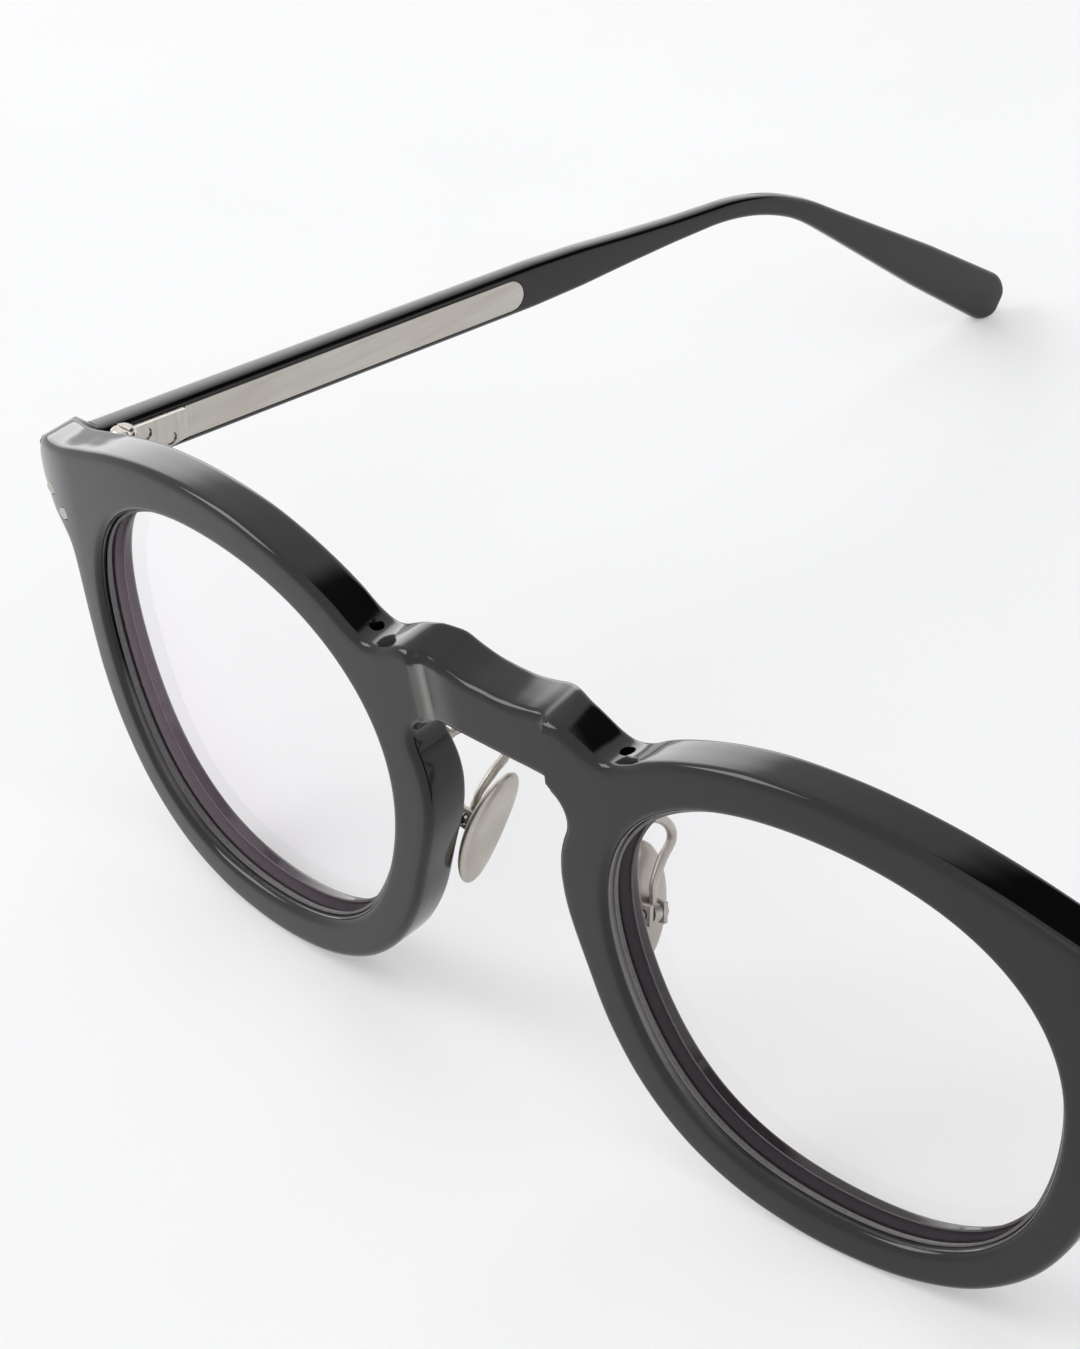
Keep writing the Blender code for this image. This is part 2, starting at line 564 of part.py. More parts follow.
def rest_on_table(objects):
    """The lean that puts the rims and the temple tips on one level, and the shift to Z = 0."""
    points = np.array([tuple(v.co) for obj in objects for v in obj.data.vertices])
    front, back = points[points[:, 1] < 40], points[points[:, 1] > 100]
    lean = 0.0
    for _ in range(20):
        low = [group[np.argmin(group[:, 1] * math.sin(lean) + group[:, 2] * math.cos(lean))]
               for group in (front, back)]
        lean = math.atan2(low[0][2] - low[1][2], low[1][1] - low[0][1])
    turn = Matrix.Rotation(lean, 4, "X")
    level = points @ np.array(turn.to_3x3()).T
    middle = (level[:, 1].min() + level[:, 1].max()) / 2
    return Matrix.Translation((0, -middle, -level[:, 2].min())) @ turn


def clear_scene():
    for obj in list(bpy.data.objects):
        bpy.data.objects.remove(obj)


def main():
    clear_scene()
    made, pivots = [front_frame()], {}
    for side, hand in ((-1, "right"), (1, "left")):
        pin = Vector((side * PIN_X, PIN_Y, PIN_Z))
        turn = (Matrix.Translation(pin) @ Matrix.Rotation(side * TOE_IN, 4, "Z")
                @ Matrix.Translation(-pin))
        made.append(lens(side, "lens_" + hand))
        made.append(front_leaf(side, "hinge_front_leaf_" + hand))
        made.append(hinge_screw(side, "hinge_screw_" + hand))
        for k, (x, z) in enumerate(rivets_in_front()):
            axis = frame_of((side * x, float(front_face(x)), z), (0, 1, 0), (1, 0, 0))
            made.append(rivet("front_rivet_%s_%d" % (hand, k + 1), axis, 3.0))
        moving = [temple(side, "temple_" + hand, turn), temple_leaf(side, "hinge_temple_leaf_" + hand, turn),
                  temple_plate(side, "temple_plate_" + hand, turn)]
        for k, (s, z) in enumerate(temple_rivet_spots()):
            thick = float(np.interp(s, (-0.8, 40), (TEMPLE_T, 2.6)))
            axis = frame_of((side * (PIN_X + TEMPLE_IN + thick), PIN_Y + s, z), (-side, 0, 0), (0, 1, 0))
            moving.append(turned(rivet("temple_rivet_%s_%d" % (hand, k + 1), axis, thick + 0.5), turn))
        pivot = pivot_frame(side).translation
        pads = [nose_pad(side, "nose_pad_" + hand)]
        made += [pad_arm(side, "pad_arm_" + hand), pad_screw(side, "pad_screw_" + hand)]
        pivots.update({obj.name: pin for obj in moving})
        pivots.update({obj.name: pivot for obj in pads})
        made += moving + pads
    to_world = rest_on_table(made)
    scale = Matrix.Scale(MM, 4)
    for obj in made:
        obj.data.transform(scale @ to_world)
        if obj.name in pivots:
            origin = scale @ to_world @ Vector(pivots[obj.name])
            obj.data.transform(Matrix.Translation(-origin))
            obj.location = origin
    print("lean", math.degrees(math.asin(to_world[2][1])), "shift", to_world.translation)
    for obj in made:
        if obj.name in pivots:
            print("pivot", obj.name, [round(v, 6) for v in obj.location])
    for side in (-1, 1):
        axis = to_world.to_3x3() @ (pivot_frame(side).to_3x3() @ Vector((0, 0, 1)))
        print("pad axis", side, [round(v, 5) for v in axis])
    print("hinge axis", [round(v, 5) for v in to_world.to_3x3() @ Vector((0, 0, 1))])


main()
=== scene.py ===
"""Looks for the round acetate eyeglasses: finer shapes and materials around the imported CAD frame.

Shapes are drawn in millimetres in the front's own frame, as in the CAD source: X to the wearer's
left, Y back towards the ears, Z up, origin on the front face at the middle of the bridge.
"""
import json
import math
import bpy
import bmesh
import numpy as np
from mathutils import Matrix, Vector
from mathutils.geometry import delaunay_2d_cdt


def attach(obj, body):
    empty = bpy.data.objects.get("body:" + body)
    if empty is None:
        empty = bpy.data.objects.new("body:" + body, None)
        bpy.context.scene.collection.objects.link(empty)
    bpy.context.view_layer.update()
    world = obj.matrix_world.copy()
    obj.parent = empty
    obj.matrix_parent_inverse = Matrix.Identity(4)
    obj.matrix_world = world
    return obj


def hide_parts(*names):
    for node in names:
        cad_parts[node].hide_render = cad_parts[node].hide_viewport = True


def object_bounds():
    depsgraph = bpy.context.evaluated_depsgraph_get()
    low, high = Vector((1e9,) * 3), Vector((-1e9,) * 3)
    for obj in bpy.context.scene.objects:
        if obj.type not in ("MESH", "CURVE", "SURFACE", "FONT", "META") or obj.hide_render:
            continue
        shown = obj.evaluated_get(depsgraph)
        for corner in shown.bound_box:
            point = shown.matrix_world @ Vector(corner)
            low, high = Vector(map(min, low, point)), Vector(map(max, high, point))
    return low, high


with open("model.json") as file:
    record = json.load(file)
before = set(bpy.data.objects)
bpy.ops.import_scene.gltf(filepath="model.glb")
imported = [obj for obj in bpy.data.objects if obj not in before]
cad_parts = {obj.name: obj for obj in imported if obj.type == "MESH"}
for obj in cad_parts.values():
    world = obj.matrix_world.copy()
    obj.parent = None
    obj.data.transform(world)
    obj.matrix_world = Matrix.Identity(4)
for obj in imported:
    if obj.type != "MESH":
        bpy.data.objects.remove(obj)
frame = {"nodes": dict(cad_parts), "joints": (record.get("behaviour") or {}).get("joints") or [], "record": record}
CAD_BOX = [list(corner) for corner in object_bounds()]

# Sizes, as in the CAD source
LENS_APART, OPEN_R, RIM_FACE = 69.9, 21.5, 3.9
FRONT_T, BRIDGE_BACK, BRIDGE_HALF = 4.65, 1.1, 9.6
WRAP, END_WRAP, END_WRAP_FROM = 0.0029, 0.02, 58
EDGE_R, BACK_R = 0.8, 0.6
GROOVE_D, GROOVE_AT = 0.6, 2.1
BRIDGE_LOW, BRIDGE_TOP, CROWN_UP, NOTCH_Z = 13.7, 20.1, 21.45, 19.3
RECESS_W, RECESS_D, LEFT_STEP_X = 13.7, 0.85, 7.4
CROWN_FALL = ((0, 4, 8, 9.6, 11.2, 13, 16), (0.3, 0.5, 0.9, 0.7, 0.5, 0.25, 0))  # X, drop in front
DIMPLE_X, DIMPLE_SHARE = 14.5, 0.62
DIMPLE_RINGS = ((0.3, -1.4), (0.5, -1.33), (0.6, -1.1), (0.6, -0.2), (0.66, 0.0), (0.9, 0.6),
                (0.9, 3.0))  # radius, height from the notch
END_X, END_TOP, END_LOW, BUTT_Y, SEAT_Y = 67.2, 17.2, 8.9, 13.2, 11.25
SEAT_BLOCK = ((57.6, 6.5), (END_X - 1.5, 8.2), (END_X - 1.5, SEAT_Y), (57.6, SEAT_Y))
CHEEK_BLOCK = ((63.3, 8.0), (END_X - 0.5, 8.2), (END_X - 0.05, 8.8), (END_X - 0.05, BUTT_Y),
               (63.3, BUTT_Y))
LENS_T, LENS_CURVE, LENS_GAP = 2.0, 150.0, 0.1
PIN_X, PIN_Y, PIN_Z = 61.6, 14.3, 12.45
TOE_IN, SLOPE, DROP = math.radians(3.0), math.radians(8.2), math.radians(40.0)
TEMPLE_IN, STRAIGHT, BEND_R, TIP_L = 1.8, 83.0, 34.0, 40.5
TEMPLE_H, TEMPLE_T, WAIST_H, WAIST_T, TIP_H, TIP_T = 5.0, 3.0, 2.3, 2.1, 6.2, 2.5
TIP_ROUND = 3.0
PLATE_H, PLATE_T, PLATE_START, PLATE_END, PLATE_GAP = 3.5, 0.5, 8.85, 54.0, 0.08
POCKET_END, POCKET_HALF, POCKET_D = 8.5, 2.0, 0.55
RIVET_R, RIVET_GAP, RIVET_HOLE_D = 0.65, 0.05, 3.1
FRONT_RIVETS = ((64.1, 11.8), (61.5, 10.4))
PAD_AT = Vector((8.95, 7.95, -3.7))
PAD_L, PAD_W, PAD_T = 12.3, 6.4, 1.3
PAD_FLARE, PAD_PITCH, PAD_SPLAY = math.radians(11.8), math.radians(21.4), math.radians(8.6)
WIRE_R, WIRE_END_R, EYE_R, EYE_T = 0.45, 0.36, 0.85, 0.84
FOOT_X, FOOT_Z, FOOT_T = 11, 6.6, 0.8
PAD_SCREW_R, PAD_SCREW_GAP, PIVOT_BACK = 0.3, 0.08, 2.1

# How closely the shapes are divided
OUTLINE_STEP, OPENING_STEPS, LENS_STEPS, TEMPLE_STEP = 0.55, 300, 180, 0.9
GRID, FINE_GRID, GRID_CLEAR, FINE_CLEAR = 0.7, 0.3, 0.42, 0.16

# The ridge attribute: on the front slope, on the tip and on the back slope of the lens's ridge,
# then the values above which it counts as ground and as painted shade (the back slope, painted
# near black where the groove shades it)
RIDGE_FRONT, RIDGE_TIP, RIDGE_BACK, RIDGE_GROUND, RIDGE_PAINTED_SHADE = 1.0, 1.6, 2.0, 0.5, 1.45

MM = 0.001
SIDES = ((-1, "right"), (1, "left"))


def to_world_matrix():
    """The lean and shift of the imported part, read from its left hinge."""
    joint = next(j for j in frame["joints"] if j["name"] == "temple_left_fold")
    axis = Vector(joint["axis"])
    turn = Matrix.Rotation(math.atan2(-axis.y, axis.z), 4, "X")
    shift = Vector(joint["pos_m"]) - turn @ (Vector((PIN_X, PIN_Y, PIN_Z)) * MM)
    return Matrix.Translation(shift) @ turn @ Matrix.Scale(MM, 4)


TO_WORLD = to_world_matrix()


# ---------------------------------------------------------------- materials

class Graph:
    """A material's node tree, with short calls for the nodes used here."""

    def __init__(self, name):
        self.mat = bpy.data.materials.new(name)
        self.mat.use_nodes = True
        self.tree = self.mat.node_tree
        self.shader = self.tree.nodes["Principled BSDF"]
        self.coords = self.node("ShaderNodeTexCoord").outputs["Object"]

    def node(self, kind, **values):
        made = self.tree.nodes.new(kind)
        for key, value in values.items():
            setattr(made, key, value)
        return made

    def link(self, source, target):
        self.tree.links.new(source, target)

    def set(self, **values):
        for key, value in values.items():
            self.shader.inputs[key.replace("_", " ")].default_value = value

    def stretch(self, scale, turn=(0, 0, 0)):
        made = self.node("ShaderNodeMapping")
        made.inputs["Scale"].default_value = scale
        made.inputs["Rotation"].default_value = turn
        self.link(self.coords, made.inputs["Vector"])
        return made.outputs["Vector"]

    def noise(self, scale, detail=3.0, rough=0.5, vector=None):
        made = self.node("ShaderNodeTexNoise")
        made.inputs["Scale"].default_value = scale
        made.inputs["Detail"].default_value = detail
        made.inputs["Roughness"].default_value = rough
        self.link(vector or self.coords, made.inputs["Vector"])
        return made.outputs["Fac"]

    def cells(self, scale, vector=None):
        made = self.node("ShaderNodeTexVoronoi")
        made.inputs["Scale"].default_value = scale
        self.link(vector or self.coords, made.inputs["Vector"])
        return made.outputs["Distance"]

    def ramp(self, source, stops):
        """Stops are (place, grey value or colour)."""
        made = self.node("ShaderNodeValToRGB")
        while len(made.color_ramp.elements) < len(stops):
            made.color_ramp.elements.new(0.5)
        for element, (place, colour) in zip(made.color_ramp.elements, stops):
            element.position = place
            element.color = (colour,) * 3 + (1,) if isinstance(colour, float) else (*colour, 1)
        self.link(source, made.inputs["Fac"])
        return made.outputs["Color"]

    def math(self, operation, a, b):
        made = self.node("ShaderNodeMath", operation=operation)
        for socket, value in zip(made.inputs, (a, b)):
            if isinstance(value, (int, float)):
                socket.default_value = value
            else:
                self.link(value, socket)
        return made.outputs[0]

    def mix(self, share, a, b):
        made = self.node("ShaderNodeMix", data_type="RGBA")
        for socket, value in ((made.inputs[0], share), (made.inputs[6], a), (made.inputs[7], b)):
            if isinstance(value, tuple):
                socket.default_value = (*value, 1)
            elif isinstance(value, (int, float)):
                socket.default_value = value
            else:
                self.link(value, socket)
        return made.outputs[2]

    def bump(self, height, strength, distance):
        made = self.node("ShaderNodeBump")
        made.inputs["Strength"].default_value = strength
        made.inputs["Distance"].default_value = distance
        self.link(height, made.inputs["Height"])
        return made.outputs["Normal"]


def acetate():
    """Polished black acetate with rare dust; a per-point attribute lifts it to grey, a painted highlight standing
    in for reflected light, and makes it rougher there.
    """
    g = Graph("acetate_black")
    cloud = g.noise(70, 4)
    colour = g.ramp(cloud, [(0.35, (0.0018, 0.0018, 0.002)), (0.7, (0.0045, 0.0042, 0.0042))])
    specks = g.ramp(g.cells(420), [(0.0, 1.0), (0.035, 0.0)])
    rare = g.ramp(g.noise(160, 1), [(0.62, 0.0), (0.66, 1.0)])
    dust = g.math("MULTIPLY", specks, rare)
    painted_sheen = g.node("ShaderNodeAttribute", attribute_name="painted_sheen").outputs["Fac"]
    # Painted highlight: the per-point attribute lifts the near-black colour towards grey where reflections should
    # show.
    painted_sheen_colour = g.mix(g.math("MULTIPLY", painted_sheen, 0.8), colour, (0.26, 0.26, 0.25))
    g.link(g.mix(dust, painted_sheen_colour, (0.16, 0.16, 0.16)), g.shader.inputs["Base Color"])
    rough = g.math("MULTIPLY_ADD", g.noise(240, 5, 0.6), 0.07)
    rough.node.inputs[2].default_value = 0.055
    # Rougher where there is dust and where the painted highlight is.
    dust_and_sheen_rough = g.math("ADD", g.math("MULTIPLY", dust, 0.4), g.math("MULTIPLY", painted_sheen, 0.3))
    g.link(g.math("ADD", rough, dust_and_sheen_rough), g.shader.inputs["Roughness"])
    fine = g.math("MULTIPLY", g.noise(2600, 3, 0.6), 0.02)
    g.link(g.bump(g.math("ADD", g.noise(95, 2, 0.4), fine), 0.22, 0.00012),
           g.shader.inputs["Normal"])
    g.set(IOR=1.47)
    return g.mat


def lens_glass():
    """A thin purple coating on a clear lens; the ridge attribute marks its ground edge, whose back slope is
    painted near black as shade from the groove.
    """
    g = Graph("lens_clear")
    g.set(Metallic=1.0)
    smear = g.noise(55, 4, 0.55)
    g.link(g.ramp(smear, [(0.45, 0.02), (0.8, 0.06)]), g.shader.inputs["Roughness"])
    g.link(g.ramp(g.noise(30, 2), [(0.35, (0.86, 0.62, 0.80)), (0.65, (0.92, 0.70, 0.84))]),
           g.shader.inputs["Base Color"])
    g.link(g.bump(g.noise(60, 1), 0.05, 0.00005), g.shader.inputs["Normal"])
    turned = g.node("ShaderNodeLayerWeight")
    turned.inputs["Blend"].default_value = 0.35
    g.link(g.ramp(turned.outputs["Facing"], [(0.0, 0.012), (0.45, 0.028), (1.0, 0.4)]),
           g.shader.inputs["Alpha"])
    ground = g.node("ShaderNodeBsdfPrincipled")
    grain = g.noise(3000, 3, 0.6)
    ridge = g.node("ShaderNodeAttribute", attribute_name="ridge").outputs["Fac"]
    frosted = g.ramp(grain, [(0.3, (0.15, 0.145, 0.145)), (0.7, (0.22, 0.21, 0.21))])
    # Painted shade: the ridge's back slope, down in the groove, is painted near black.
    painted_groove_shade = g.math("GREATER_THAN", ridge, RIDGE_PAINTED_SHADE)
    g.link(g.mix(painted_groove_shade, frosted, (0.012, 0.010, 0.012)), ground.inputs["Base Color"])
    ground.inputs["Roughness"].default_value = 0.7
    ground.inputs["Specular IOR Level"].default_value = 0.2
    both = g.node("ShaderNodeMixShader")
    g.link(g.math("GREATER_THAN", ridge, RIDGE_GROUND), both.inputs[0])
    g.link(g.shader.outputs[0], both.inputs[1])
    g.link(ground.outputs[0], both.inputs[2])
    g.link(both.outputs[0], g.tree.nodes["Material Output"].inputs["Surface"])
    return g.mat


def brushed_plate():
    """Fine lines along the plate, which runs along the frame's Y."""
    g = Graph("plate_brushed_temple")
    lines = g.noise(900, 4, 0.65, g.stretch((1.0, 0.025, 1.0), (0.14, 0, 0)))
    patches = g.noise(110, 3)
    tone = g.ramp(lines, [(0.3, (0.47, 0.445, 0.415)), (0.7, (0.60, 0.57, 0.535))])
    aged = g.ramp(patches, [(0.4, (0.94, 0.93, 0.9)), (0.7, (1.0, 1.0, 1.0))])
    both = g.node("ShaderNodeMix", data_type="RGBA", blend_type="MULTIPLY")
    both.inputs[0].default_value = 1.0
    g.link(tone, both.inputs[6])
    g.link(aged, both.inputs[7])
    g.link(both.outputs[2], g.shader.inputs["Base Color"])
    g.link(g.ramp(lines, [(0.25, 0.28), (0.75, 0.42)]), g.shader.inputs["Roughness"])
    g.link(g.bump(lines, 0.25, 0.00004), g.shader.inputs["Normal"])
    g.set(Metallic=1.0, Anisotropic=0.5)
    return g.mat


def titanium():
    """Matte blasted titanium, on the pads, their arms and lugs."""
    g = Graph("titanium_matte")
    grain = g.noise(3200, 3, 0.6)
    patches = g.noise(240, 3)
    tone = g.ramp(patches, [(0.35, (0.46, 0.43, 0.39)), (0.7, (0.56, 0.53, 0.48))])
    g.link(tone, g.shader.inputs["Base Color"])
    g.link(g.ramp(grain, [(0.3, 0.38), (0.7, 0.52)]), g.shader.inputs["Roughness"])
    g.link(g.bump(grain, 0.35, 0.00003), g.shader.inputs["Normal"])
    g.set(Metallic=1.0)
    return g.mat


def steel():
    """Satin steel with fine turned lines, on the hinges, screws and rivets."""
    g = Graph("steel_satin")
    turned_lines = g.noise(1800, 3, 0.6, g.stretch((1.0, 1.0, 0.08)))
    tone = g.ramp(turned_lines, [(0.3, (0.44, 0.42, 0.385)), (0.7, (0.56, 0.535, 0.49))])
    g.link(tone, g.shader.inputs["Base Color"])
    g.link(g.ramp(turned_lines, [(0.3, 0.16), (0.7, 0.3)]), g.shader.inputs["Roughness"])
    g.link(g.bump(turned_lines, 0.15, 0.00002), g.shader.inputs["Normal"])
    g.set(Metallic=1.0)
    return g.mat


def paper():
    """Bright white paper under the glasses, lit partly by its own emission: a painted glow that stands in for fill
    light and softens the contact shadows on it.
    """
    g = Graph("floor_paper")
    tone = g.ramp(g.noise(9, 4, 0.55), [(0.3, (0.60, 0.605, 0.615)), (0.7, (0.63, 0.635, 0.645))])
    g.link(tone, g.shader.inputs["Base Color"])
    g.link(g.bump(g.noise(900, 4, 0.6), 0.15, 0.0002), g.shader.inputs["Normal"])
    # Painted glow: the emission lifts the paper and softens its contact shadows, with a darker base colour to keep
    # the overall brightness.
    g.set(Roughness=0.85, Specular_IOR_Level=0.2,
          Emission_Color=(1.0, 1.0, 1.0, 1), Emission_Strength=0.3)
    return g.mat


LOOKS = {"acetate": acetate(), "lens": lens_glass(), "titanium": titanium(), "steel": steel(),
         "plate": brushed_plate()}


# ---------------------------------------------------------------- shapes

def mesh_object(name, points, faces):
    """A mesh in millimetres in the front's frame, faces turned outwards."""
    mesh = bpy.data.meshes.new(name)
    mesh.from_pydata([tuple(p) for p in points], [], [tuple(f) for f in faces])
    made = bmesh.new()
    made.from_mesh(mesh)
    bmesh.ops.remove_doubles(made, verts=made.verts, dist=1e-5)
    bmesh.ops.recalc_face_normals(made, faces=made.faces)
    if made.calc_volume(signed=True) < 0:
        bmesh.ops.reverse_faces(made, faces=made.faces)
    made.to_mesh(mesh)
    made.free()
    obj = bpy.data.objects.new(name, mesh)
    bpy.context.scene.collection.objects.link(obj)
    return obj


def bake(obj):
    """Applies an object's modifiers to its mesh."""
    mesh = bpy.data.meshes.new_from_object(
        obj.evaluated_get(bpy.context.evaluated_depsgraph_get()))
    obj.modifiers.clear()
    obj.data = mesh
    return obj


def combine(target, others, operation):
    """Joins the others to the target or cuts them out of it, one after another."""
    for other in others:
        step = target.modifiers.new("step", "BOOLEAN")
        step.operation, step.solver, step.object = operation, "EXACT", other
        bake(target)
        bpy.data.objects.remove(other)
    return target


def bevel(obj, width, segments, angle=30):
    """Rounds the edges sharper than the angle."""
    edge = obj.modifiers.new("edge", "BEVEL")
    edge.width, edge.segments = width, segments
    edge.limit_method, edge.angle_limit = "ANGLE", math.radians(angle)
    return edge


def smooth(obj, angle=35):
    """Smooth shading, with edges sharper than the angle kept crisp."""
    made = bmesh.new()
    made.from_mesh(obj.data)
    for face in made.faces:
        face.smooth = True
    for edge in made.edges:
        edge.smooth = len(edge.link_faces) == 2 and edge.calc_face_angle() < math.radians(angle)
    made.to_mesh(obj.data)
    made.free()
    return obj


def finish_piece(obj, body, slot, nodes=(), angle=35):
    """Puts a finished piece in the world, on its body, with its slot's look."""
    smooth(obj, angle)
    obj.data.transform(TO_WORLD)
    obj.data.materials.clear()
    obj.data.materials.append(LOOKS[slot])
    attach(obj, body)
    if nodes:
        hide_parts(*nodes)
    return obj


def rings_to_mesh(name, rings):
    """A skin over closed rings of equally many points, with a fan of triangles on both ends."""
    count, points, faces = len(rings[0]), [p for ring in rings for p in ring], []
    for i in range(len(rings) - 1):
        for j in range(count):
            k = (j + 1) % count
            faces.append((i * count + j, i * count + k, (i + 1) * count + k, (i + 1) * count + j))
    for start in (0, (len(rings) - 1) * count):
        points.append(sum((Vector(p) for p in rings[start // count]), Vector()) / count)
        faces += [(start + j, start + (j + 1) % count, len(points) - 1) for j in range(count)]
    return mesh_object(name, points, faces)


def prism(name, outline, low, high, frame_at):
    """An outline in the frame's first two axes, drawn out along its third from low to high."""
    rings = [[frame_at @ Vector((a, b, c)) for a, b in outline] for c in (low, high)]
    count = len(outline)
    faces = [tuple(range(count)), tuple(range(count, 2 * count))]
    faces += [(j, (j + 1) % count, count + (j + 1) % count, count + j) for j in range(count)]
    return mesh_object(name, rings[0] + rings[1], faces)


def disc(radius, count=24):
    turn = [2 * math.pi * j / count for j in range(count)]
    return [(radius * math.cos(a), radius * math.sin(a)) for a in turn]


def box_outline(a0, a1, b0, b1, corner=0.0, steps=4):
    """A rectangle between two values on each axis, with rounded corners if asked for."""
    if corner <= 0:
        return [(a0, b0), (a1, b0), (a1, b1), (a0, b1)]
    out = []
    for k, (a, b) in enumerate(((a1, b1), (a0, b1), (a0, b0), (a1, b0))):
        ca = a - math.copysign(corner, a - a0 - 1e-9)
        cb = b - math.copysign(corner, b - b0 - 1e-9)
        turn = [math.pi / 2 * (k + j / steps) for j in range(steps + 1)]
        out += [(ca + corner * math.cos(t), cb + corner * math.sin(t)) for t in turn]
    return out


def frame_of(origin, third, first):
    """A frame with its third axis as given and its first as near the given one as that allows."""
    c = Vector(third).normalized()
    a = (Vector(first) - c * Vector(first).dot(c)).normalized()
    out = Matrix((a, c.cross(a), c)).transposed().to_4x4()
    out.translation = origin
    return out


def opening(angle, grow=0.0):
    """The panto opening's edge; the angle turns from the temple side up over the top."""
    r = OPEN_R + grow + 0.13 * math.sin(angle) + 0.64 * math.cos(2 * angle)
    r += -0.37 * math.sin(2 * angle) + 0.44 * math.sin(3 * angle) - 0.12 * math.cos(3 * angle)
    r += -0.41 * math.cos(4 * angle) + 0.15 * math.sin(5 * angle)
    return LENS_APART / 2 + r * math.cos(angle), r * math.sin(angle)


def curve_through(points, spacing):
    """A smooth curve through the points, resampled evenly along its length."""
    p = np.array(points, float)
    slope = np.gradient(p, axis=0)
    fine = []
    for i in range(len(p) - 1):
        for t in np.linspace(0, 1, 24, endpoint=False):
            fine.append(p[i] * (1 + 2 * t) * (1 - t) ** 2 + slope[i] * t * (1 - t) ** 2
                        + p[i + 1] * t * t * (3 - 2 * t) + slope[i + 1] * t * t * (t - 1))
    fine = np.array(fine + [p[-1]])
    run = np.concatenate([[0], np.cumsum(np.linalg.norm(np.diff(fine, axis=0), axis=1))])
    at = np.linspace(0, run[-1], max(2, round(run[-1] / spacing) + 1))
    return np.stack([np.interp(at, run, fine[:, k]) for k in range(p.shape[1])], 1)


def front_outline(spacing):
    """Half of the front's edge from the middle of the bridge's underside to that of its crown."""
    nose = [(0, BRIDGE_LOW), (2.5, BRIDGE_LOW), (5, BRIDGE_LOW), (7, BRIDGE_LOW - 0.2),
            (8.3, BRIDGE_LOW - 1), (8.95, BRIDGE_LOW - 2.3), (8.9, BRIDGE_LOW - 3.7),
            (8.35, BRIDGE_LOW - 5.2), (7.9, BRIDGE_LOW - 7), (7.75, 4.2), (8.2, 0.7)]
    rim = [opening(math.radians(a), RIM_FACE + 0.3 * max(math.cos(math.radians(a - 195)), 0))
           for a in range(190, 368, 14)]
    end = [(61.3, 6.2), (62.6, 8.0), (64.4, END_LOW), (65.7, END_LOW + 1.2),
           (END_X, END_LOW + 3), (END_X, END_TOP - 3), (65.9, END_TOP - 1),
           (64.4, END_TOP + 0.1), (60.5, 18.6)]
    brow = [(56, 20.3), (51, 22.1), (45.5, 23.6), (40, 24.5), (35, 24.8), (30, 24.6),
            (25.5, 23.8), (21.5, 22.6), (18.2, 21.2), (16, NOTCH_Z + 0.6), (14.1, NOTCH_Z),
            (12.6, NOTCH_Z + 0.3), (11.1, NOTCH_Z + 1.1), (9.6, CROWN_UP - 0.3), (8, CROWN_UP),
            (6.2, CROWN_UP - 0.3), (4.3, BRIDGE_TOP + 0.5), (2.2, BRIDGE_TOP + 0.1),
            (0, BRIDGE_TOP)]
    return curve_through(nose + rim + end + brow, spacing)


def inwards(loop):
    """Unit directions to the left of a closed loop, at each of its points."""
    along = np.roll(loop, -1, 0) - np.roll(loop, 1, 0)
    along /= np.linalg.norm(along, axis=1)[:, None]
    return np.stack([-along[:, 1], along[:, 0]], 1)


def ease(value, low, high):
    """From 0 at low to 1 at high, with soft ends."""
    t = np.clip((value - low) / (high - low), 0, 1)
    return t * t * (3 - 2 * t)


def wrap(x):
    """How far back the front curves, with a tighter curve at the endpieces."""
    return WRAP * x * x / 2 + END_WRAP * np.maximum(np.abs(x) - END_WRAP_FROM, 0) ** 2


def recess_share(x, z):
    """Distance into the bridge's recess from its side, in millimetres; below zero outside it."""
    edge = np.where(x < 0, RECESS_W / 2 + RECESS_D - 0.6 * np.clip((19 - z) / 4.5, 0, 1),
                    LEFT_STEP_X)
    return edge - np.abs(x)


def front_y(x, z):
    """The front surface: an even wrap, and the bridge's recess with its concave sides."""
    d = recess_share(x, z)
    lip = np.where(x < 0, 0.12, 0.0)
    share = np.clip((d + lip) / (RECESS_D + lip), 0, 1)
    hollow = RECESS_D * np.sqrt(1 - (1 - share) ** 2)
    hollow = np.where(x < 0, hollow * ease(d, -0.12, 0.16), hollow)
    return wrap(x) + hollow * ease(z, 11.3, 12.6)


def back_y(x, z):
    """The back surface, with the thicker bridge."""
    return wrap(x) + FRONT_T + BRIDGE_BACK * ease(BRIDGE_HALF - np.abs(x), 0, 4)


def crown_fall(x, z, share):
    """How far the top of the crown drops towards its front edge."""
    fall = np.interp(np.abs(x), *CROWN_FALL)
    return fall * (1 - share) * ease(z, BRIDGE_LOW + 2, BRIDGE_LOW + 4)


def inside(points, loop):
    """Which of the points lie inside a closed loop."""
    x, z = loop[:, 0], loop[:, 1]
    x2, z2 = np.roll(x, -1), np.roll(z, -1)
    px, pz = points[:, 0, None], points[:, 1, None]
    crosses = (z > pz) != (z2 > pz)
    return (crosses & (px < (x2 - x) * (pz - z) / (z2 - z + 1e-12) + x)).sum(1) % 2 == 1


def away(points, loop, least):
    """Which of the points are at least that far from the loop."""
    out = np.ones(len(points), bool)
    for start in range(0, len(points), 400):
        part = points[start:start + 400]
        gap = np.linalg.norm(part[:, None] - loop[None], axis=2).min(1)
        out[start:start + 400] = gap > least
    return out


def rounding(radius, steps=7):
    """(inset, depth) down a rounded edge, from the flat face to the wall."""
    return [(radius * (1 - math.sin(a)), radius * (1 - math.cos(a)))
            for a in (math.pi / 2 * k / steps for k in range(steps + 1))]


